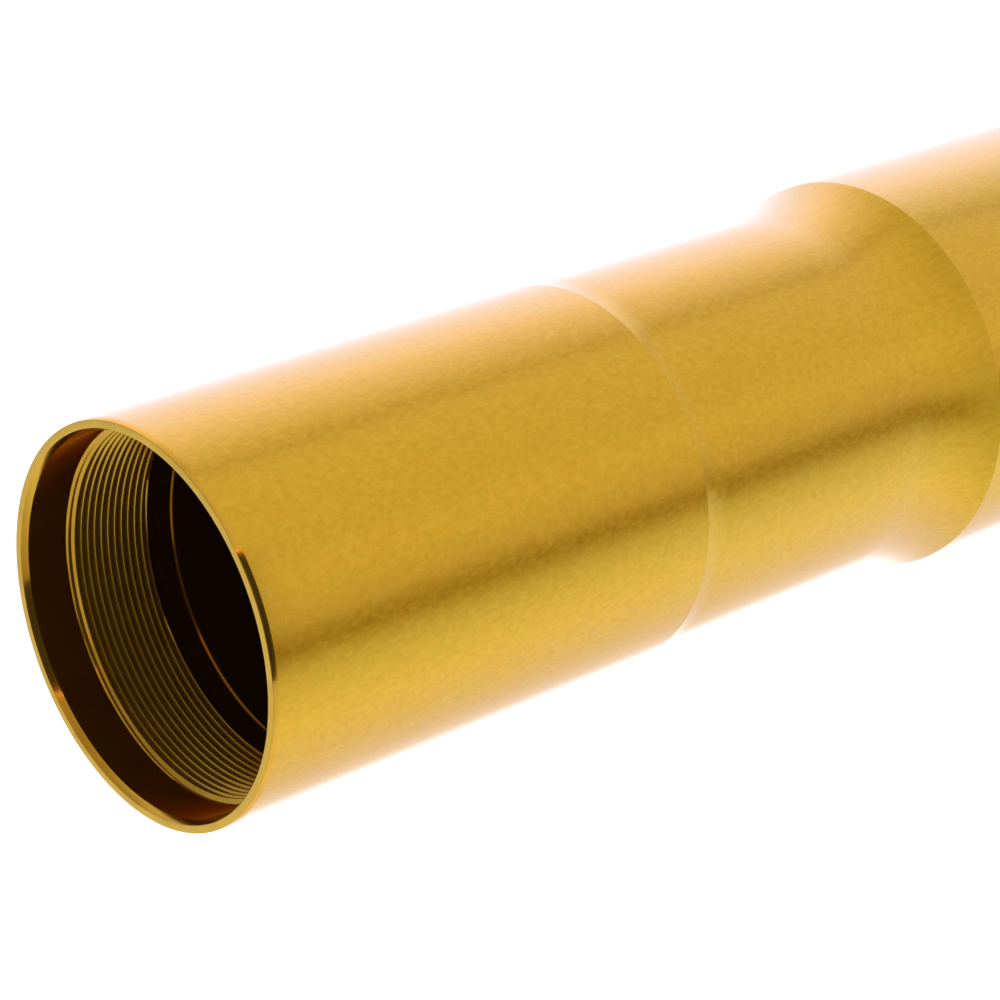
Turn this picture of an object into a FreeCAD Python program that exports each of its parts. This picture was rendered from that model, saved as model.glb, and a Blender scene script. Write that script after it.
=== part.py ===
import FreeCAD, Part
import math
import os
import Sketcher

# Outer tube of an upside-down motorcycle telescopic fork, with the bushes and seals it carries.
# The tube stands on its dust seal: +Z runs up the tube to the open mouth that takes the fork cap.
# Radii are measured from the Z axis. Depths run down from the mouth, heights up from the base.

doc = FreeCAD.newDocument("fork_outer_tube")

SIZES = {
    # overall
    "overall_height": 500.0,
    # mouth
    "mouth_face_inner": 23.93,
    "mouth_face_outer": 24.9,
    "outer_lead_depth": 0.81,
    "inner_lead_depth": 0.83,
    "land_radius": 23.52,
    "land_depth": 6.32,
    "cap_entry": 0.38,
    # cap thread, M47 x 1
    "cap_major": 23.5,
    "cap_minor": 22.96,
    "cap_pitch": 1.0,
    "cap_root_flat": 0.125,
    "cap_cut_overrun": 0.1,
    "cap_cut_start": 19.95,
    "cap_cut_travel": 14.2,
    "cap_end_depth": 18.05,
    "relief_ramp": 0.2,
    "relief_radius": 23.52,
    "relief_depth": 21.95,
    "bore_radius": 23.3,
    # outside, from the mouth down
    "upper_clamp_radius": 25.0,
    "upper_clamp_end": 68.22,
    "waist_radius": 24.65,
    "waist_start": 71.92,
    "step_arc": 19.73,
    "waist_end": 107.5,
    "flare_end": 121.19,
    "flare_arc": 36.43,
    "lower_clamp_radius": 27.32,
    "lower_clamp_end": 232.0,
    "shank_start": 239.0,
    "shank_radius": 26.2,
    "shank_end": 441.0,
    "housing_start": 454.0,
    "housing_radius": 29.8,
    "end_chamfer": 0.5,
    # inside of the lower end, from the base up
    "tube_foot": 4.0,
    "seal_bore": 27.0,
    "foot_chamfer": 0.5,
    "clip_groove_low": 12.9,
    "clip_groove_high": 15.1,
    "clip_groove_radius": 28.1,
    "seal_shoulder": 27.75,
    "bush_seat_radius": 23.5,
    "lower_seat_top": 47.9,
    "upper_seat_low": 186.0,
    "upper_seat_top": 206.2,
    "seat_ramp": 1.0,
    # slide bushes, 43 bore by 47 by 20
    "bush_length": 20.0,
    "bush_outer": 23.48,
    "bush_liner_outer": 21.86,
    "bush_bore": 21.52,
    "bush_wrap": 355.0,
    "lower_bush_low": 27.8,
    "upper_bush_low": 186.1,
    "bush_edge": 0.4,
    "bush_liner_edge": 0.15,
    # seal backup washer
    "washer_low": 26.2,
    "washer_thickness": 1.5,
    "washer_inner": 22.2,
    "washer_outer": 26.85,
    # seals, 43 by 54
    "fit_gap": 0.02,
    "steel_thickness": 1.0,
    "oil_seal_low": 15.15,
    "oil_seal_height": 11.0,
    "oil_lip": 21.56,
    "oil_second_lip": 21.58,
    "oil_case_outer": 26.2,
    "oil_case_inner": 23.4,
    "oil_case_floor": 0.8,
    "oil_case_top": 10.6,
    "oil_spring_ring": 23.34,
    "oil_spring_height": 8.6,
    "oil_spring_wire": 0.6,
    "dust_lip": 21.56,
    "dust_upper_lip": 21.57,
    "dust_flange": 29.2,
    "dust_top": 11.0,
    "dust_case_outer": 26.1,
    "dust_case_inner": 23.8,
    "dust_case_floor": 2.2,
    "dust_case_top": 10.6,
    "dust_spring_ring": 23.34,
    "dust_spring_height": 1.12,
    "dust_spring_wire": 0.45,
    # stopper ring
    "clip_ring": 27.0,
    "clip_wire": 1.0,
    "clip_height": 14.0,
    "clip_wrap": 338.0,
}


class Length:
    """A length with the expression that drives it, so that sums keep both."""

    def __init__(self, value, text):
        self.value = value
        self.text = text

    def __add__(self, other):
        other = length(other)
        return Length(self.value + other.value, f"{self.text} + {other.text}")

    def __sub__(self, other):
        other = length(other)
        return Length(self.value - other.value, f"{self.text} - ({other.text})")


def make_sheet():
    """Write every driving dimension to its own named cell."""
    table = doc.addObject("Spreadsheet::Sheet", "Sizes")
    for row, (name, value) in enumerate(SIZES.items(), start=1):
        table.set(f"A{row}", name)
        table.set(f"B{row}", str(value))
        table.setAlias(f"B{row}", name)
    doc.recompute()
    return table


sheet = make_sheet()


def length(source):
    """A cell's name, a plain number or a ready Length, as a Length."""
    if isinstance(source, Length):
        return source
    if isinstance(source, str):
        return Length(float(sheet.get(source)), f"Sizes.{source}")
    return Length(float(source), f"{source}")


def down(depth):
    """The height of a place that lies this far below the mouth."""
    return length("overall_height") - depth


def plane_of(body, role):
    """One of the body's own origin planes."""
    return next(item for item in body.Origin.OriginFeatures if item.Role == role)


def new_sketch(body, name):
    """A sketch in the body's own XZ plane: across is radius, up is height."""
    sketch = body.newObject("Sketcher::SketchObject", name)
    sketch.AttachmentSupport = (plane_of(body, "XZ_Plane"), [""])
    sketch.MapMode = "FlatFace"
    return sketch


def flat_point(place):
    radius, height = place
    return FreeCAD.Vector(radius.value, height.value, 0)


def hollow_arc(start, end, radius):
    """The short arc that turns right from start to end; as an edge, it runs from end to start."""
    chord = end - start
    middle = (start + end) * 0.5
    right = FreeCAD.Vector(chord.y, -chord.x, 0).normalize()
    centre = middle + right * math.sqrt(radius**2 - (chord.Length / 2) ** 2)
    first = math.atan2(end.y - centre.y, end.x - centre.x)
    last = math.atan2(start.y - centre.y, start.x - centre.x)
    circle = Part.Circle(centre, FreeCAD.Vector(0, 0, 1), radius)
    return Part.ArcOfCircle(circle, first, last)


def bind(sketch, constraint, size):
    """Add a constraint and drive it from the sheet."""
    index = sketch.addConstraint(constraint)
    sketch.setExpression(f"Constraints[{index}]", size.text)


def draw_outline(sketch, places, arcs=None):
    """A closed outline through (radius, height) places; arcs maps a side's index to its radius."""
    arcs = arcs or {}
    places = [(length(radius), length(height)) for radius, height in places]
    points = [flat_point(place) for place in places]
    for side, start in enumerate(points):
        end = points[(side + 1) % len(points)]
        if side in arcs:
            sketch.addGeometry(hollow_arc(start, end, length(arcs[side]).value), False)
        else:
            sketch.addGeometry(Part.LineSegment(start, end), False)
    begins = [2 if side in arcs else 1 for side in range(len(points))]
    for side, begin in enumerate(begins):
        following = (side + 1) % len(points)
        joint = Sketcher.Constraint("Coincident", side, 3 - begin, following, begins[following])
        sketch.addConstraint(joint)
    for side, (radius, height) in enumerate(places):
        begin = begins[side]
        bind(sketch, Sketcher.Constraint("DistanceX", -1, 1, side, begin, radius.value), radius)
        bind(sketch, Sketcher.Constraint("DistanceY", -1, 1, side, begin, height.value), height)
    for side, radius in arcs.items():
        size = length(radius)
        bind(sketch, Sketcher.Constraint("Radius", side, size.value), size)


def turned_body(name, places, arcs=None, wrap=None):
    """A body turned about Z from an outline, all the way round unless wrap names an angle."""
    body = doc.addObject("PartDesign::Body", name)
    body.Label = name
    sketch = new_sketch(body, f"{name}_outline")
    draw_outline(sketch, places, arcs)
    turn = body.newObject("PartDesign::Revolution", f"{name}_turn")
    turn.Profile = sketch
    turn.ReferenceAxis = (sketch, ["V_Axis"])
    turn.Angle = 360
    if wrap:
        turn.setExpression("Angle", f"Sizes.{wrap}")
    sketch.Visibility = False
    doc.recompute()
    return body


def ring_spring(name, ring, wire, height):
    """A garter spring as the plain ring that its coils fill."""
    torus = doc.addObject("Part::Torus", name)
    torus.Label = name
    torus.setExpression("Radius1", length(ring).text)
    torus.setExpression("Radius2", length(wire).text)
    torus.setExpression("Placement.Base.z", length(height).text)
    return torus


def outer_tube():
    """The gold tube: clamp zones, waist, flare and seal housing outside, stepped bore inside."""
    outside = [
        (length("housing_radius") - "end_chamfer", "tube_foot"),
        ("housing_radius", length("tube_foot") + "end_chamfer"),
        ("housing_radius", down("housing_start")),
        ("shank_radius", down("shank_end")),
        ("shank_radius", down("shank_start")),
        ("lower_clamp_radius", down("lower_clamp_end")),
        ("lower_clamp_radius", down("flare_end")),
        ("waist_radius", down("waist_end")),
        ("waist_radius", down("waist_start")),
        ("upper_clamp_radius", down("upper_clamp_end")),
        ("upper_clamp_radius", down("outer_lead_depth")),
        ("mouth_face_outer", "overall_height"),
    ]
    bore_start = length("relief_depth") + (length("relief_radius") - "bore_radius")
    cap_seat = [
        ("mouth_face_inner", "overall_height"),
        ("land_radius", down("inner_lead_depth")),
        ("land_radius", down("land_depth")),
        ("cap_minor", down(length("land_depth") + "cap_entry")),
        ("cap_minor", down("cap_end_depth")),
        ("relief_radius", down(length("cap_end_depth") + "relief_ramp")),
        ("relief_radius", down("relief_depth")),
        ("bore_radius", down(bore_start)),
    ]
    upper_seat = [
        ("bore_radius", "upper_seat_top"),
        ("bush_seat_radius", "upper_seat_top"),
        ("bush_seat_radius", "upper_seat_low"),
        ("bore_radius", "upper_seat_low"),
    ]
    lower_seat = [
        ("bore_radius", length("lower_seat_top") + "seat_ramp"),
        ("bush_seat_radius", "lower_seat_top"),
        ("bush_seat_radius", "seal_shoulder"),
        ("seal_bore", "seal_shoulder"),
    ]
    seal_end = [
        ("seal_bore", "clip_groove_high"),
        ("clip_groove_radius", "clip_groove_high"),
        ("clip_groove_radius", "clip_groove_low"),
        ("seal_bore", "clip_groove_low"),
        ("seal_bore", length("tube_foot") + "foot_chamfer"),
        (length("seal_bore") + "foot_chamfer", "tube_foot"),
    ]
    places = outside + cap_seat + upper_seat + lower_seat + seal_end
    flare_side = 6
    step_side = 8
    body = turned_body("outer_tube", places, {flare_side: "flare_arc", step_side: "step_arc"})
    cut_cap_thread(body)
    return body


def cut_cap_thread(body):
    """The right-hand 60 degree thread for the fork cap, cut by one helical sweep."""
    reach = length("cap_minor") - "cap_cut_overrun"
    middle = down("cap_cut_start")
    half_flat = Length(sheet.get("cap_root_flat") / 2, "Sizes.cap_root_flat / 2")
    flank = math.tan(math.radians(30))
    rise = (length("cap_major").value - reach.value) * flank
    spread = Length(
        half_flat.value + rise,
        f"{half_flat.text} + (Sizes.cap_major - ({reach.text})) * tan(30 deg)",
    )
    sketch = new_sketch(body, "cap_thread_groove")
    draw_outline(
        sketch,
        [
            (reach, middle - spread),
            ("cap_major", middle - half_flat),
            ("cap_major", middle + half_flat),
            (reach, middle + spread),
        ],
    )
    helix = body.newObject("PartDesign::SubtractiveHelix", "cap_thread")
    helix.Profile = sketch
    helix.ReferenceAxis = (sketch, ["V_Axis"])
    helix.Mode = 0
    helix.setExpression("Pitch", "Sizes.cap_pitch")
    helix.setExpression("Height", "Sizes.cap_cut_travel")
    helix.Angle = 0
    helix.LeftHanded = False
    helix.Reversed = False
    before = body.Shape.Volume
    sketch.Visibility = False
    doc.recompute()
    removed = before - body.Shape.Volume
    print(f"cap thread removed {removed:.0f} mm3")
    if removed < 300:
        raise RuntimeError("the cap thread cut nothing")


def slide_bush(where):
    """A split bush: a steel back with a thin low-friction liner bonded inside it."""
    low = length(f"{where}_bush_low")
    top = low + "bush_length"
    back = [
        ("bush_liner_outer", low),
        (length("bush_outer") - "bush_edge", low),
        ("bush_outer", low + "bush_edge"),
        ("bush_outer", top - "bush_edge"),
        (length("bush_outer") - "bush_edge", top),
        ("bush_liner_outer", top),
    ]
    liner = [
        (length("bush_bore") + "bush_liner_edge", low),
        ("bush_liner_outer", low),
        ("bush_liner_outer", top),
        (length("bush_bore") + "bush_liner_edge", top),
        ("bush_bore", top - "bush_liner_edge"),
        ("bush_bore", low + "bush_liner_edge"),
    ]
    return [
        turned_body(f"{where}_bush_back", back, wrap="bush_wrap"),
        turned_body(f"{where}_bush_liner", liner, wrap="bush_wrap"),
    ]


def backup_washer():
    """The flat washer between the oil seal and the lower bush."""
    low = length("washer_low")
    top = low + "washer_thickness"
    places = [
        ("washer_inner", low),
        ("washer_outer", low),
        ("washer_outer", top),
        ("washer_inner", top),
    ]
    return turned_body("seal_backup_washer", places)


def seal_case(name, base, outer, inner, floor, top):
    """The pressed steel L-ring that stiffens a seal."""
    floor_low = length(base) + floor
    places = [
        (inner, floor_low),
        (outer, floor_low),
        (outer, length(base) + top),
        (length(outer) - "steel_thickness", length(base) + top),
        (length(outer) - "steel_thickness", floor_low + "steel_thickness"),
        (inner, floor_low + "steel_thickness"),
    ]
    return turned_body(name, places)


def oil_seal():
    """The oil seal, open side up: moulded rubber, steel case and garter spring."""
    base = length("oil_seal_low")
    skin = length("seal_bore") - "fit_gap"
    top = length("oil_seal_height")
    web_top = length("oil_case_floor") + "steel_thickness"
    lip = length("oil_lip")
    back = length("oil_spring_ring")
    spring = length("oil_spring_height")
    places = [
        (skin - 0.6, base),
        (skin, base + 0.6),
        (skin, base + top - 0.6),
        (skin - 0.6, base + top),
        ("oil_case_outer", base + top),
        ("oil_case_outer", base + "oil_case_floor"),
        ("oil_case_inner", base + "oil_case_floor"),
        ("oil_case_inner", base + web_top),
        (length("oil_case_inner") + 0.6, base + web_top),
        (length("oil_case_inner") + 0.6, base + web_top + 0.8),
        (back, base + web_top + 1.8),
        (back, base + spring - 1.1),
        (back - 0.64, base + spring - 0.7),
        (back - 0.64, base + spring + 0.7),
        (back, base + spring + 1.1),
        (back - 0.3, base + spring + 2.0),
        (lip + 0.75, base + spring + 2.0),
        (lip, base + spring),
        (lip + 0.35, base + spring - 3.1),
        (lip + 0.75, base + spring - 5.4),
        (lip + 0.55, base + 2.2),
        ("oil_second_lip", base + 1.0),
        (lip + 0.45, base),
    ]
    rubber = turned_body("oil_seal_rubber", places)
    case = seal_case(
        "oil_seal_case", base, "oil_case_outer", "oil_case_inner", "oil_case_floor", "oil_case_top"
    )
    spring_ring = ring_spring("oil_seal_spring", back, "oil_spring_wire", base + spring)
    return [rubber, case, spring_ring]


def dust_seal():
    """The dust seal, wiper down: its flange closes the tube's foot and is the lowest piece."""
    skin = length("seal_bore") - "fit_gap"
    flange = length("dust_flange")
    top = length("dust_top")
    floor = length("dust_case_floor")
    web_top = floor + "steel_thickness"
    inner = length("dust_case_inner")
    lip = length("dust_lip")
    back = length("dust_spring_ring")
    spring = length("dust_spring_height")
    places = [
        (inner + 1.8, 0),
        (flange - 0.8, 0),
        (flange, 0.8),
        (flange, "tube_foot"),
        (skin, "tube_foot"),
        (skin, top - 0.6),
        (skin - 0.5, top),
        ("dust_case_outer", top),
        ("dust_case_outer", floor),
        (inner, floor),
        (inner, web_top),
        (inner + 0.6, web_top),
        (inner + 0.6, web_top + 0.7),
        (inner - 0.4, web_top + 1.6),
        (lip + 1.3, top - 1.6),
        (lip + 0.75, top - 0.8),
        ("dust_upper_lip", top - 1.6),
        (lip + 0.4, top - 3.0),
        (lip + 0.7, floor + 1.4),
        (lip, 0.8),
        (lip + 0.35, 0.3),
        (back - 0.25, 0.3),
        (back - 0.48, spring - 0.48),
        (back - 0.48, spring + 0.48),
        (back - 0.15, floor - 0.3),
        (inner + 1.4, floor - 0.3),
    ]
    rubber = turned_body("dust_seal_rubber", places)
    case = seal_case(
        "dust_seal_case", 0, "dust_case_outer", "dust_case_inner", "dust_case_floor", "dust_case_top"
    )
    spring_ring = ring_spring("dust_seal_spring", back, "dust_spring_wire", spring)
    return [rubber, case, spring_ring]


def stopper_ring():
    """The round-wire ring that snaps into the tube's groove and holds the oil seal up."""
    body = doc.addObject("PartDesign::Body", "seal_stopper_ring")
    body.Label = "seal_stopper_ring"
    sketch = new_sketch(body, "stopper_wire")
    wire = length("clip_wire")
    ring = length("clip_ring")
    height = length("clip_height")
    centre = FreeCAD.Vector(ring.value, height.value, 0)
    sketch.addGeometry(Part.Circle(centre, FreeCAD.Vector(0, 0, 1), wire.value), False)
    bind(sketch, Sketcher.Constraint("Radius", 0, wire.value), wire)
    bind(sketch, Sketcher.Constraint("DistanceX", -1, 1, 0, 3, ring.value), ring)
    bind(sketch, Sketcher.Constraint("DistanceY", -1, 1, 0, 3, height.value), height)
    turn = body.newObject("PartDesign::Revolution", "stopper_turn")
    turn.Profile = sketch
    turn.ReferenceAxis = (sketch, ["V_Axis"])
    turn.setExpression("Angle", "Sizes.clip_wrap")
    sketch.Visibility = False
    doc.recompute()
    return body


def check_and_write(pieces):
    """Stop on any failed object or bad shape, then write one file for each piece."""
    doc.recompute()
    for item in doc.Objects:
        if "Invalid" in item.State or "Error" in item.State:
            raise RuntimeError(f"{item.Name} is {item.State}")
    for piece in pieces:
        shape = piece.Shape
        if shape.isNull() or not shape.isValid() or len(shape.Solids) != 1:
            raise RuntimeError(f"{piece.Label} has a bad shape")
    os.makedirs("parts", exist_ok=True)
    for piece in pieces:
        piece.Shape.exportStep(f"parts/{piece.Label}.step")
        box = piece.Shape.BoundBox
        print(f"{piece.Label}: {piece.Shape.Volume:.1f} mm3, z {box.ZMin:.2f} to {box.ZMax:.2f}")


pieces = [outer_tube(), backup_washer(), stopper_ring()]
for place in ("upper", "lower"):
    pieces += slide_bush(place)
pieces += oil_seal()
pieces += dust_seal()
check_and_write(pieces)
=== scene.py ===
import math

import bmesh
import bpy
from mathutils import Euler, Matrix, Vector


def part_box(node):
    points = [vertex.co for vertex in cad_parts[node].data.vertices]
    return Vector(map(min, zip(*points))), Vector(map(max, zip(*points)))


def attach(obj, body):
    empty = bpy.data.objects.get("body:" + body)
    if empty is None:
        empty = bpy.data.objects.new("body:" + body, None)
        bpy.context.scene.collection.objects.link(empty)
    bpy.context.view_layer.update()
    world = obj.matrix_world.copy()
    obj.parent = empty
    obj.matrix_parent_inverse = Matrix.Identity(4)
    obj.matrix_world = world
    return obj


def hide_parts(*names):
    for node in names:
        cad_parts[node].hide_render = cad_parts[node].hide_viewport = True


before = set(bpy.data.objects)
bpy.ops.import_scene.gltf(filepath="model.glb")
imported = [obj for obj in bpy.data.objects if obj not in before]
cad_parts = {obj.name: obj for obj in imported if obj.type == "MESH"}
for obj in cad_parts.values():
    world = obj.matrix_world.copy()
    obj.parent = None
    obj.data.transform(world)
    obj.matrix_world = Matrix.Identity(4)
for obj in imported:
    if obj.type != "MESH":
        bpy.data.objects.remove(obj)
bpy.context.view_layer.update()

MM = 0.001

# ---------------------------------------------------------------- sizes, in millimetres
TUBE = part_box("outer_tube")
MOUTH = TUBE[1].z / MM
FOOT = TUBE[0].z / MM
SEGMENTS = 384

CLAMP_R = 25.0
WAIST_R = 24.65
LOWER_CLAMP_R = 27.32
SHANK_R = 26.2
HOUSING_R = 29.8
BORE_R = 23.3
SEAL_BORE_R = 27.0
BUSH_SEAT_R = 23.5
CLIP_GROOVE_R = 28.1
LAND_R = 23.52
RELIEF_R = 23.52
FACE_INNER_R = 23.93
FACE_OUTER_R = 24.9
THREAD_MINOR = 22.96
THREAD_MAJOR = 23.5
THREAD_PITCH = 1.0
THREAD_START = 19.95
THREAD_TRAVEL = 14.2
EDGE_BREAK = 0.07

# Depths below the mouth. Between the last two the wall is meshed in rows that follow the helix.
LEAD_END = 0.83
OUTER_LEAD_END = 0.81
LAND_END = 6.32
SEAT_START = 6.70
SEAT_END = 18.05
RELIEF_START = 18.25
RELIEF_END = 21.95
BORE_START = 22.17
CLAMP_END = 68.22
WAIST_START = 71.92
WAIST_END = 107.5
FLARE_END = 121.19
LOWER_CLAMP_END = 232.0
SHANK_START = 239.0
SHANK_END = 441.0
HOUSING_START = 454.0
THREAD_TOP = 5.0
THREAD_BOTTOM = 20.3

# Radii of the two arcs that join the waist to the clamp zones.
STEP_ARC = 19.73
FLARE_ARC = 36.43

# Heights above the bench, for what lies at the foot.
CLIP_GROOVE = (12.9, 15.1)
SEAL_BORE_TOP = 27.75
LOWER_BUSH_TOP = 47.9
LOWER_BUSH_LEAD = 48.9
UPPER_BUSH = (186.0, 206.2)
FOOT_BREAK = 0.5


def down(depth):
    """The height of a place this far below the mouth."""
    return MOUTH - depth


# ---------------------------------------------------------------- mesh helpers
def finish_mesh(name, bm, sharp=32):
    """Turn a bmesh into an object with smooth faces and sharp real edges."""
    bmesh.ops.recalc_face_normals(bm, faces=bm.faces)
    mesh = bpy.data.meshes.new(name)
    bm.to_mesh(mesh)
    bm.free()
    mesh.shade_smooth()
    mesh.set_sharp_from_angle(angle=math.radians(sharp))
    piece = bpy.data.objects.new(name, mesh)
    bpy.context.scene.collection.objects.link(piece)
    weight = piece.modifiers.new("flat_faces_stay_flat", "WEIGHTED_NORMAL")
    weight.keep_sharp = True
    return piece


def soften(places, size=EDGE_BREAK, steps=3):
    """The same open outline with each corner broken by a small arc."""
    result = [places[0]]
    for before, corner, after in zip(places, places[1:], places[2:]):
        into = Vector(corner) - Vector(before)
        out = Vector(after) - Vector(corner)
        turn = into.angle(out)
        if turn < math.radians(4):
            result.append(corner)
            continue
        reach = min(size * math.tan(turn / 2), 0.35 * into.length, 0.35 * out.length)
        start = Vector(corner) - into.normalized() * reach
        end = Vector(corner) + out.normalized() * reach
        for step in range(steps + 1):
            share = step / steps
            first = start.lerp(Vector(corner), share)
            second = Vector(corner).lerp(end, share)
            result.append(tuple(first.lerp(second, share)))
    result.append(places[-1])
    return result


def arc_points(start, end, radius, steps):
    """Points between two places on the short arc that bulges towards a smaller radius."""
    start, end = Vector(start), Vector(end)
    chord = end - start
    left = Vector((-chord.y, chord.x)).normalized()
    centre = (start + end) / 2 + left * math.sqrt(radius**2 - (chord.length / 2) ** 2)
    first = start - centre
    sweep = first.angle_signed(end - centre)
    shares = [i / steps for i in range(1, steps)]
    return [tuple(centre + Matrix.Rotation(-sweep * share, 2) @ first) for share in shares]


def add_ring(bm, radius, height, count=SEGMENTS):
    """A closed ring of vertices round Z."""
    turns = [math.tau * i / count for i in range(count)]
    return [
        bm.verts.new((radius * MM * math.cos(a), radius * MM * math.sin(a), height * MM))
        for a in turns
    ]


def join_rings(bm, first, second):
    """Four-sided faces all the way round, between two rings."""
    for i in range(len(first)):
        following = (i + 1) % len(first)
        bm.faces.new((first[i], first[following], second[following], second[i]))


def lathe(bm, places):
    """Turn an outline of (radius, height) places about Z."""
    rings = [add_ring(bm, radius, height) for radius, height in places]
    for first, second in zip(rings, rings[1:]):
        join_rings(bm, first, second)


# ---------------------------------------------------------------- the gold tube
def seat_radius(depth):
    """The cap seat's wall before the thread is cut: land, entry bevel, thread bore, relief."""
    outline = (
        (LAND_END, LAND_R),
        (SEAT_START, THREAD_MINOR),
        (SEAT_END, THREAD_MINOR),
        (RELIEF_START, RELIEF_R),
    )
    for (top, top_radius), (bottom, bottom_radius) in zip(outline, outline[1:]):
        if depth < top:
            return top_radius
        if depth < bottom:
            share = (depth - top) / (bottom - top)
            return top_radius + share * (bottom_radius - top_radius)
    return RELIEF_R


def thread_radius(offset):
    """How far out the 60 degree groove reaches, this part of a pitch away from its middle."""
    half_root = 0.0625
    flank = (abs(offset) * THREAD_PITCH - half_root) / math.tan(math.radians(30))
    return THREAD_MAJOR - max(0.0, flank)


def cut_thread(bm, top, bottom):
    """The threaded wall between two depths, its rows of vertices following the helix."""
    offsets = (-0.5, -0.42, -0.374, -0.32, -0.17, -0.0625, 0.0625, 0.17, 0.32, 0.374, 0.42)
    spare_turns = 3
    start = down(THREAD_START)
    turns = range(-spare_turns, int(THREAD_TRAVEL) + spare_turns + 1)
    rows = [turn + offset for turn in turns for offset in offsets]
    columns = []
    for segment in range(SEGMENTS + 1):
        angle = math.tau * segment / SEGMENTS
        column = []
        for row in rows:
            height = start + (row + segment / SEGMENTS) * THREAD_PITCH
            height = min(max(height, down(bottom)), down(top))
            radius = max(seat_radius(MOUTH - height), thread_radius(row - round(row)))
            ring = Vector((radius * math.cos(angle), radius * math.sin(angle), height)) * MM
            column.append(bm.verts.new(ring))
        columns.append(column)
    for left, right in zip(columns, columns[1:]):
        for i in range(len(rows) - 1):
            bm.faces.new((left[i], right[i], right[i + 1], left[i + 1]))


def finish_regions(mesh):
    """Satin outside, finer mouth edges and thread, and painted shade inside: a slightly darker
    thread, a brown land and a dark honed bore.
    """
    outside, edge, bore, cap, land = range(5)
    for material in (gold_anodised(), turned_edge(), honed_bore_painted_shade(), cap_thread(), cap_land()):
        mesh.materials.append(material)
    rounding = 0.01
    land_reach = THREAD_TOP + 2
    bore_reach = 24.2
    for face in mesh.polygons:
        x, y, z = face.center
        radius = math.hypot(x, y) / MM
        depth = MOUTH - z / MM
        if depth < LEAD_END and radius < CLAMP_R - rounding / 2:
            face.material_index = edge
        elif THREAD_TOP < depth < THREAD_BOTTOM and radius < LAND_R - rounding:
            face.material_index = cap
        elif radius < LAND_R + rounding and depth < land_reach:
            face.material_index = land
        elif radius < bore_reach and z / MM > FOOT + FOOT_BREAK:
            face.material_index = bore
        else:
            face.material_index = outside


def outer_tube():
    """The whole turned tube, with its edges broken and its cap thread really cut."""
    step_start = (CLAMP_R, down(CLAMP_END))
    step_end = (WAIST_R, down(WAIST_START))
    flare_start = (WAIST_R, down(WAIST_END))
    flare_end = (LOWER_CLAMP_R, down(FLARE_END))
    clip_bottom, clip_top = CLIP_GROOVE
    bush_bottom, bush_top = UPPER_BUSH
    places = [
        (LAND_R, down(THREAD_TOP)),
        (LAND_R, down(LEAD_END)),
        (FACE_INNER_R, MOUTH),
        (FACE_OUTER_R, MOUTH),
        (CLAMP_R, down(OUTER_LEAD_END)),
        step_start,
        *arc_points(step_start, step_end, STEP_ARC, 6),
        step_end,
        flare_start,
        *arc_points(flare_start, flare_end, FLARE_ARC, 14),
        flare_end,
        (LOWER_CLAMP_R, down(LOWER_CLAMP_END)),
        (SHANK_R, down(SHANK_START)),
        (SHANK_R, down(SHANK_END)),
        (HOUSING_R, down(HOUSING_START)),
        (HOUSING_R, FOOT + FOOT_BREAK),
        (HOUSING_R - FOOT_BREAK, FOOT),
        (SEAL_BORE_R + FOOT_BREAK, FOOT),
        (SEAL_BORE_R, FOOT + FOOT_BREAK),
        (SEAL_BORE_R, clip_bottom),
        (CLIP_GROOVE_R, clip_bottom),
        (CLIP_GROOVE_R, clip_top),
        (SEAL_BORE_R, clip_top),
        (SEAL_BORE_R, SEAL_BORE_TOP),
        (BUSH_SEAT_R, SEAL_BORE_TOP),
        (BUSH_SEAT_R, LOWER_BUSH_TOP),
        (BORE_R, LOWER_BUSH_LEAD),
        (BORE_R, bush_bottom),
        (BUSH_SEAT_R, bush_bottom),
        (BUSH_SEAT_R, bush_top),
        (BORE_R, bush_top),
        (BORE_R, down(BORE_START)),
        (RELIEF_R, down(RELIEF_END)),
        (RELIEF_R, down(THREAD_BOTTOM)),
    ]
    bm = bmesh.new()
    lathe(bm, soften(places))
    cut_thread(bm, THREAD_TOP, THREAD_BOTTOM)
    same_place = 0.002 * MM
    bmesh.ops.remove_doubles(bm, verts=bm.verts, dist=same_place)
    tube = finish_mesh("gold_outer_tube", bm)
    finish_regions(tube.data)
    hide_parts("outer_tube")
    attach(tube, "root")


# ---------------------------------------------------------------- garter springs
def garter_spring(node, material):
    """A closely coiled wire loop that fills the CAD ring it replaces."""
    low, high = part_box(node)
    coil = (high.z - low.z) / 2
    ring = high.x - coil
    middle = (high.z + low.z) / 2
    wire = 0.14 * MM
    coil -= wire
    coil_pitch = 2.15 * wire
    turns = round(math.tau * ring / coil_pitch)
    per_turn = 10
    curve = bpy.data.curves.new(f"{node}_coil", "CURVE")
    curve.dimensions = "3D"
    curve.bevel_depth = wire
    curve.bevel_resolution = 1
    spline = curve.splines.new("POLY")
    count = turns * per_turn
    spline.points.add(count - 1)
    spline.use_cyclic_u = True
    for i, point in enumerate(spline.points):
        round_ring = math.tau * i / count
        round_coil = math.tau * i / per_turn
        radius = ring + coil * math.cos(round_coil)
        height = middle + coil * math.sin(round_coil)
        point.co = (radius * math.cos(round_ring), radius * math.sin(round_ring), height, 1)
    piece = bpy.data.objects.new(f"{node}_coil", curve)
    bpy.context.scene.collection.objects.link(piece)
    curve.materials.append(material)
    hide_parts(node)
    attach(piece, "root")


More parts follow.
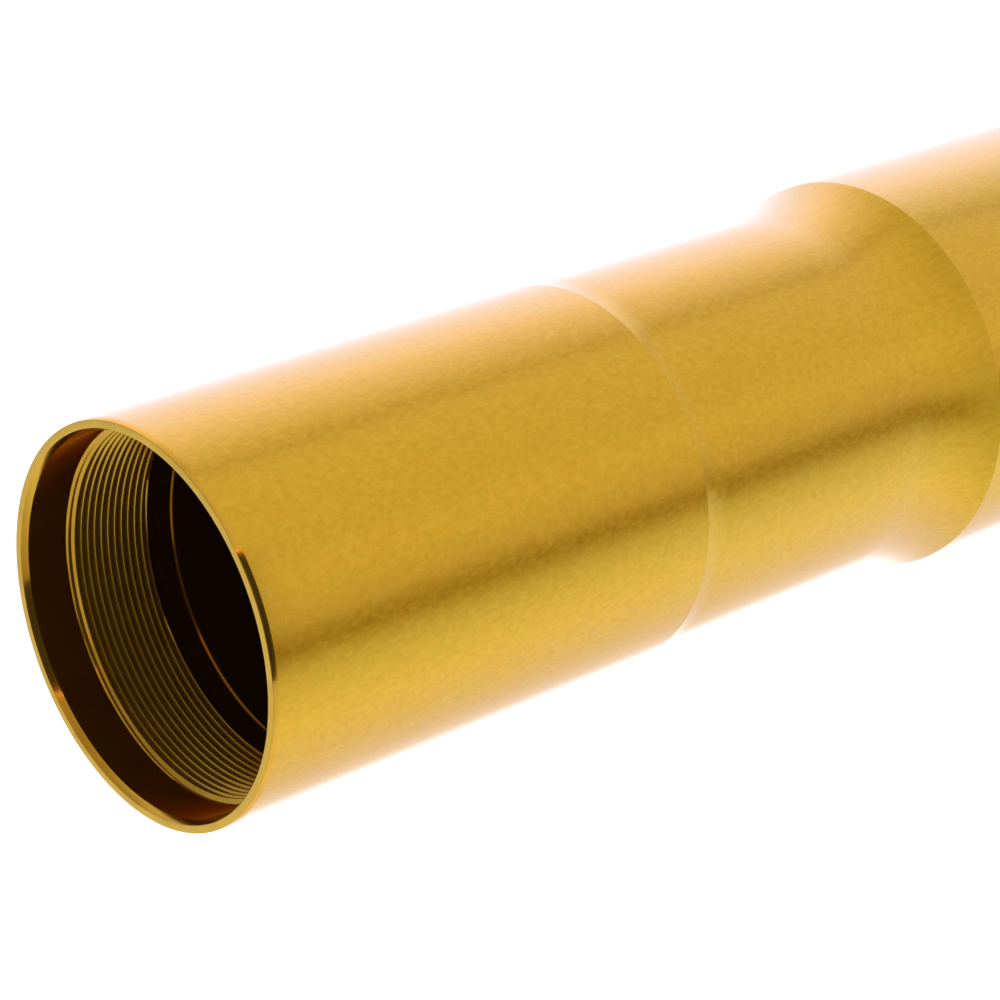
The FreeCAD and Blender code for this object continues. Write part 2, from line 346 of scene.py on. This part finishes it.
# ---------------------------------------------------------------- materials
class Nodes:
    """A node tree with short names for what this scene does with one."""

    def __init__(self, owner):
        owner.use_nodes = True
        self.tree = owner.node_tree

    def node(self, kind, **settings):
        node = self.tree.nodes.new(kind)
        for name, value in settings.items():
            setattr(node, name, value)
        return node

    def link(self, source, target):
        self.tree.links.new(source, target)

    def fill(self, sockets, values):
        """Give each socket its value, or link it where the value is another node's output."""
        for socket, value in zip(sockets, values):
            if isinstance(value, (int, float, tuple)):
                socket.default_value = value
            else:
                self.link(value, socket)

    def maths(self, operation, *values):
        node = self.node("ShaderNodeMath", operation=operation)
        self.fill(node.inputs, values)
        return node.outputs[0]

    def mix(self, share, first, second):
        """A colour between two, by a value from 0 to 1."""
        node = self.node("ShaderNodeMix", data_type="RGBA")
        self.fill([node.inputs[name] for name in ("Factor", "A", "B")], (share, first, second))
        return node.outputs["Result"]

    def map_range(self, value, start, end, low=0.0, high=1.0, curve="LINEAR"):
        """Goes from low to high as the value goes from start to end."""
        node = self.node("ShaderNodeMapRange", interpolation_type=curve)
        names = ("Value", "From Min", "From Max", "To Min", "To Max")
        self.fill([node.inputs[name] for name in names], (value, start, end, low, high))
        return node.outputs[0]


class Material(Nodes):
    """A material built round its principled shader."""

    def __init__(self, name):
        self.material = bpy.data.materials.new(name)
        super().__init__(self.material)
        self.shader = self.tree.nodes["Principled BSDF"]

    def set(self, **values):
        """Set the shader's own sockets, with _ for a space in the socket's name."""
        for name, value in values.items():
            self.shader.inputs[name.replace("_", " ")].default_value = value

    def places(self, scale):
        """Object coordinates in metres, times a scale for each axis."""
        source = self.node("ShaderNodeTexCoord")
        node = self.node("ShaderNodeVectorMath", operation="MULTIPLY")
        self.link(source.outputs["Object"], node.inputs[0])
        node.inputs[1].default_value = scale
        return node.outputs[0]

    def turned_places(self, across, along):
        """Coordinates with one scale across the turning lines and one along them.

        Height plus radius counts the lines, so they run round walls and flat faces alike.
        """
        source = self.node("ShaderNodeTexCoord")
        parts = self.node("ShaderNodeSeparateXYZ")
        self.link(source.outputs["Object"], parts.inputs[0])
        x, y, z = parts.outputs
        squares = self.maths("ADD", self.maths("POWER", x, 2), self.maths("POWER", y, 2))
        line = self.maths("ADD", z, self.maths("SQRT", squares))
        joined = self.node("ShaderNodeCombineXYZ")
        scaled = [self.maths("MULTIPLY", x, along), self.maths("MULTIPLY", y, along)]
        self.fill(joined.inputs, (*scaled, self.maths("MULTIPLY", line, across)))
        return joined.outputs[0]

    def noise(self, vector, detail=2.0, roughness=0.5):
        node = self.node("ShaderNodeTexNoise")
        self.link(vector, node.inputs["Vector"])
        node.inputs["Scale"].default_value = 1.0
        node.inputs["Detail"].default_value = detail
        node.inputs["Roughness"].default_value = roughness
        return node.outputs[0]

    def spread(self, value, low, high, start=0.3, end=0.7):
        """Map a noise value's useful middle to a range."""
        return self.map_range(value, start, end, low, high)

    def tint(self, value, dark, light):
        """The shader's own colour, between two that are written without their alpha."""
        self.link(self.mix(value, (*dark, 1), (*light, 1)), self.shader.inputs["Base Color"])

    def bump(self, height, strength, distance):
        node = self.node("ShaderNodeBump")
        node.inputs["Strength"].default_value = strength
        node.inputs["Distance"].default_value = distance
        self.link(height, node.inputs["Height"])
        self.link(node.outputs["Normal"], self.shader.inputs["Normal"])

    def turned_grain(self, amount, rotation=0.25):
        """Highlights stretched across the turning lines."""
        tangent = self.node("ShaderNodeTangent", direction_type="RADIAL", axis="Z")
        self.link(tangent.outputs[0], self.shader.inputs["Tangent"])
        self.set(Anisotropic=amount, Anisotropic_Rotation=rotation)


def gold_anodised():
    """Satin gold anodising: a fine grain drawn along the tube, with small shifts of hue."""
    gold = Material("gold_anodised")
    gold.set(Metallic=1.0, Coat_Weight=0.55, Coat_IOR=1.5, Coat_Roughness=0.15)
    gold.turned_grain(0.5)
    grain = gold.noise(gold.turned_places(across=950, along=1500), detail=1, roughness=0.6)
    cloud = gold.noise(gold.places((900, 900, 600)), detail=2, roughness=0.6)
    shade = gold.spread(grain, 0, 1)
    orange = gold.mix(shade, (0.570, 0.283, 0.001, 1), (0.650, 0.326, 0.008, 1))
    yellow = gold.mix(shade, (0.552, 0.298, 0.002, 1), (0.632, 0.346, 0.012, 1))
    hue = gold.mix(gold.spread(cloud, 0, 1), orange, yellow)
    gold.link(hue, gold.shader.inputs["Base Color"])
    gold.link(gold.spread(grain, 0.23, 0.28), gold.shader.inputs["Roughness"])
    gold.bump(grain, 0.05, 0.02 * MM)
    return gold.material


def turned_edge(
    name="gold_turned_edge", metallic=1.0, dark=(0.60, 0.295, 0.020), light=(0.69, 0.350, 0.030)
):
    """The gold faces round the mouth and in the thread, cut smoother than the wall."""
    gold = Material(name)
    gold.set(Metallic=metallic, Coat_Weight=0.4, Coat_IOR=1.5, Coat_Roughness=0.1)
    gold.set(Specular_Tint=(1.0, 0.85, 0.65, 1))
    gold.turned_grain(0.3)
    lines = gold.noise(gold.turned_places(across=9000, along=60), detail=3)
    cloud = gold.noise(gold.places((300, 300, 300)), detail=3)
    gold.tint(gold.spread(cloud, 0, 1), dark, light)
    gold.link(gold.spread(lines, 0.12, 0.20), gold.shader.inputs["Roughness"])
    gold.bump(lines, 0.06, 0.01 * MM)
    return gold.material


def cap_thread():
    """The thread: turned like the edges, a little darker as painted shade inside the mouth, and
    not quite all metal.
    """
    return turned_edge("gold_cap_thread_painted_shade", 0.9, (0.54, 0.270, 0.016), (0.62, 0.325, 0.025))


def cap_land():
    """The plain wall above the thread, browner and darker than the outside: painted shade inside
    the mouth.
    """
    return honed_bore_painted_shade("gold_cap_land_painted_shade", 0.93, (0.31, 0.105, 0.003), (0.35, 0.12, 0.004))


def honed_bore_painted_shade(
    name="honed_bore_painted_shade", metallic=0.95, dark=(0.24, 0.10, 0.003), light=(0.29, 0.12, 0.004)
):
    """The inside wall: gold like the rest, with a darker base colour that is painted shade, for
    lying deep inside.
    """
    bore = Material(name)
    bore.set(Metallic=metallic, Specular_Tint=(1.0, 0.6, 0.3, 1))
    lines = bore.noise(bore.turned_places(across=5000, along=80), detail=3)
    cloud = bore.noise(bore.places((260, 260, 90)), detail=4)
    bore.tint(bore.spread(cloud, 0, 1), dark, light)
    bore.link(bore.spread(cloud, 0.15, 0.20), bore.shader.inputs["Roughness"])
    bore.bump(lines, 0.03, 0.01 * MM)
    return bore.material


def steel(name, dark, light, roughness, grain):
    """Machined or drawn steel with fine lines and a little staining."""
    metal = Material(name)
    metal.set(Metallic=1.0)
    metal.turned_grain(0.4)
    lines = metal.noise(metal.turned_places(across=grain, along=120), detail=3)
    stain = metal.noise(metal.places((250, 250, 250)), detail=4)
    metal.tint(metal.spread(stain, 0, 1), dark, light)
    metal.link(
        metal.spread(lines, roughness - 0.06, roughness + 0.08), metal.shader.inputs["Roughness"]
    )
    metal.bump(lines, 0.2, 0.02 * MM)
    return metal.material


def rubber(name, colour, roughness):
    """Moulded black rubber: fine grain and a little bloom."""
    black = Material(name)
    black.set(Specular_IOR_Level=0.4)
    grain = black.noise(black.places((6000, 6000, 6000)), detail=2)
    bloom = black.noise(black.places((180, 180, 180)), detail=4)
    lighter = tuple(c * 1.9 + 0.004 for c in colour)
    black.tint(black.spread(bloom, 0, 1), colour, lighter)
    black.link(
        black.spread(bloom, roughness + 0.08, roughness - 0.08), black.shader.inputs["Roughness"]
    )
    black.bump(grain, 0.25, 0.02 * MM)
    return black.material


def bush_liner():
    """Bronze speckles showing through a grey-brown low-friction overlay."""
    liner = Material("bush_liner")
    liner.set(Metallic=0.25)
    speckle = liner.noise(liner.places((9000, 9000, 9000)), detail=2, roughness=0.7)
    liner.tint(liner.spread(speckle, 0, 1, 0.52, 0.66), (0.055, 0.052, 0.045), (0.30, 0.17, 0.07))
    liner.link(liner.spread(speckle, 0.55, 0.38), liner.shader.inputs["Roughness"])
    liner.bump(speckle, 0.15, 0.02 * MM)
    return liner.material


def dress_nodes():
    """Give each CAD node that keeps its own shape its finish."""
    bush_back = steel("bush_steel", (0.30, 0.30, 0.31), (0.46, 0.45, 0.44), 0.36, 3000)
    washer = steel("washer_steel", (0.44, 0.44, 0.45), (0.58, 0.57, 0.56), 0.30, 5000)
    clip = steel("clip_steel", (0.12, 0.12, 0.13), (0.25, 0.24, 0.24), 0.33, 4000)
    case = steel("seal_case_steel", (0.33, 0.33, 0.34), (0.50, 0.49, 0.47), 0.42, 3500)
    liner = bush_liner()
    finishes = {
        "upper_bush_back": bush_back,
        "lower_bush_back": bush_back,
        "upper_bush_liner": liner,
        "lower_bush_liner": liner,
        "seal_backup_washer": washer,
        "seal_stopper_ring": clip,
        "oil_seal_case": case,
        "dust_seal_case": case,
        "oil_seal_rubber": rubber("oil_seal_rubber", (0.010, 0.010, 0.011), 0.42),
        "dust_seal_rubber": rubber("dust_seal_rubber", (0.012, 0.012, 0.013), 0.52),
    }
    for node, material in finishes.items():
        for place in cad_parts[node].material_slots:
            place.material = material


# ---------------------------------------------------------------- stage, light and camera
def floor():
    """A plain pale floor that the tube stands on."""
    bm = bmesh.new()
    half_width = 6.0
    bmesh.ops.create_grid(bm, x_segments=1, y_segments=1, size=half_width)
    plane = finish_mesh("studio_floor", bm)
    pale = Material("studio_floor")
    pale.set(Roughness=0.9, Specular_IOR_Level=0.1, Base_Color=(0.93, 0.93, 0.93, 1))
    plane.data.materials.append(pale.material)
    plane.visible_glossy = False


class World(Nodes):
    """The studio's surroundings, built round their background light."""

    def __init__(self):
        world = bpy.data.worlds.new("studio")
        bpy.context.scene.world = world
        super().__init__(world)
        self.light = self.tree.nodes["Background"]

    def ramp(self, value, stops, start, end):
        """A colour that follows a value through stops given on the value's own scale."""
        node = self.node("ShaderNodeValToRGB")
        self.link(self.map_range(value, start, end), node.inputs[0])
        elements = node.color_ramp.elements
        while len(elements) < len(stops):
            elements.new(0.5)
        for element, (place, colour) in zip(elements, stops):
            element.position = (place - start) / (end - start)
            element.color = (*colour, 1)
        return node.outputs[0]

    def rise(self, value, start, end):
        """Goes smoothly from 0 to 1 as the value goes from start to end."""
        return self.map_range(value, start, end, curve="SMOOTHSTEP")


def studio_world():
    """Even white light for all but reflections, and tinted surroundings for those.

    The tints follow the bearing, 0 being the camera's side: panels below the horizon, a band
    level with it, and the sky above.
    """
    studio = World()
    studio.light.inputs["Strength"].default_value = 2.0
    source = studio.node("ShaderNodeTexCoord")
    parts = studio.node("ShaderNodeSeparateXYZ")
    studio.link(source.outputs["Generated"], parts.inputs[0])
    x, y, z = parts.outputs
    leftward, nearer = studio.maths("MULTIPLY", x, -1), studio.maths("MULTIPLY", y, -1)
    turn = studio.maths("ARCTAN2", leftward, nearer)
    panels = [
        (-180, (0.72, 0.71, 0.80)),
        (-144, (0.68, 0.69, 0.84)),
        (-112, (0.78, 0.76, 0.90)),
        (-96, (0.66, 0.67, 0.72)),
        (-77, (0.52, 0.53, 0.45)),
        (-71, (0.36, 0.36, 0.27)),
        (-65, (0.525, 0.545, 0.445)),
        (-14, (0.49, 0.51, 0.43)),
        (2, (0.53, 0.55, 0.46)),
        (26, (0.44, 0.45, 0.38)),
        (33, (0.30, 0.28, 0.18)),
        (38, (0.21, 0.17, 0.08)),
        (43, (0.30, 0.29, 0.18)),
        (51, (0.46, 0.51, 0.43)),
        (66, (0.56, 0.64, 0.58)),
        (84, (0.65, 0.71, 0.57)),
        (128, (0.58, 0.55, 0.50)),
        (146, (0.60, 0.56, 0.55)),
        (158, (0.78, 0.80, 0.86)),
        (180, (0.86, 0.92, 0.98)),
    ]
    horizon = [
        (-180, (0.62, 0.63, 0.66)),
        (-100, (0.45, 0.47, 0.40)),
        (-41, (0.36, 0.39, 0.31)),
        (0, (0.46, 0.49, 0.44)),
        (40, (0.36, 0.40, 0.33)),
        (95, (0.52, 0.61, 0.49)),
        (180, (0.66, 0.68, 0.70)),
    ]
    sky = [
        (-180, (0.44, 0.55, 0.60)),
        (-158, (0.36, 0.42, 0.38)),
        (-132, (0.18, 0.20, 0.17)),
        (-60, (0.24, 0.22, 0.13)),
        (60, (0.28, 0.27, 0.16)),
        (95, (0.36, 0.40, 0.28)),
        (135, (0.44, 0.48, 0.36)),
        (160, (0.52, 0.60, 0.54)),
        (180, (0.44, 0.55, 0.60)),
    ]
    bearing = studio.maths("MULTIPLY", turn, 180 / math.pi)
    wall = studio.ramp(bearing, panels, -180, 180)
    level = studio.ramp(bearing, horizon, -180, 180)
    above = studio.ramp(bearing, sky, -180, 180)
    below = studio.mix(studio.rise(z, -0.45, -0.10), wall, level)
    seen = studio.mix(studio.rise(z, 0.0, 0.35), below, above)
    path = studio.node("ShaderNodeLightPath")
    even = (0.72, 0.72, 0.72, 1)
    colour = studio.mix(path.outputs["Is Glossy Ray"], even, seen)
    studio.link(colour, studio.light.inputs["Color"])


def reflected_panel(name, edges, distance, heights, colour, glow=0.0):
    """An upright panel on the camera's side, from edge to edge, that only reflections show."""
    (left, right), (bottom, top) = edges, heights
    corners = [(left, bottom), (right, bottom), (right, top), (left, top)]
    bm = bmesh.new()
    bm.faces.new([bm.verts.new(Vector((x, -distance, z)) * MM) for x, z in corners])
    panel = finish_mesh(name, bm)
    finish = Material(name)
    finish.set(Roughness=0.9, Base_Color=(*colour, 1), Emission_Color=(*colour, 1))
    finish.set(Emission_Strength=glow)
    panel.data.materials.append(finish.material)
    panel.visible_camera = False
    panel.visible_diffuse = False
    panel.visible_shadow = False


def reflected_panels():
    """Dark cards with thin warm lamps beside them: far ones above the mouth, small ones near it.

    Only the small ones stand level with the tube, beside its top 9 mm.
    """
    dark, warm = (0.02, 0.02, 0.02), (1.0, 0.55, 0.2)
    above = (down(-10), down(-700))
    close = (down(8.7), down(1.8))
    glow = 0.9
    reflected_panel("studio_dark_card", (110, -355), 320, above, dark)
    reflected_panel("studio_warm_lamp", (122.5, 110), 319, above, warm, glow)
    reflected_panel("studio_edge_card", (9.4, -29.3), 40, close, dark)
    reflected_panel("studio_edge_lamp", (10.3, 9.4), 39.9, close, warm, glow)


def camera():
    """Looks down at the mouth from close by, rolled so that the tube runs to the upper right."""
    aim_depth = 56.12
    aim = Vector((0, 0, down(aim_depth) * MM))
    elevation = math.radians(38.03)
    distance = 402.95 * MM
    roll = math.radians(-109.63)
    back = Vector((0, -math.cos(elevation), math.sin(elevation)))
    data = bpy.data.cameras.new("camera")
    data.sensor_width = 36.0
    data.lens = 114.95
    data.clip_start = 0.01
    data.clip_end = 50.0
    eye = bpy.data.objects.new("camera", data)
    bpy.context.scene.collection.objects.link(eye)
    eye.location = aim + back * distance
    turn = (-back).to_track_quat("-Z", "Y")
    eye.rotation_mode = "QUATERNION"
    eye.rotation_quaternion = turn @ Euler((0, 0, roll)).to_quaternion()
    bpy.context.scene.camera = eye


outer_tube()
spring_steel = steel("garter_steel", (0.50, 0.50, 0.50), (0.66, 0.65, 0.64), 0.22, 4000)
for spring in ("oil_seal_spring", "dust_seal_spring"):
    garter_spring(spring, spring_steel)
dress_nodes()
floor()
studio_world()
reflected_panels()
camera()
bpy.context.scene.view_settings.view_transform = "Standard"
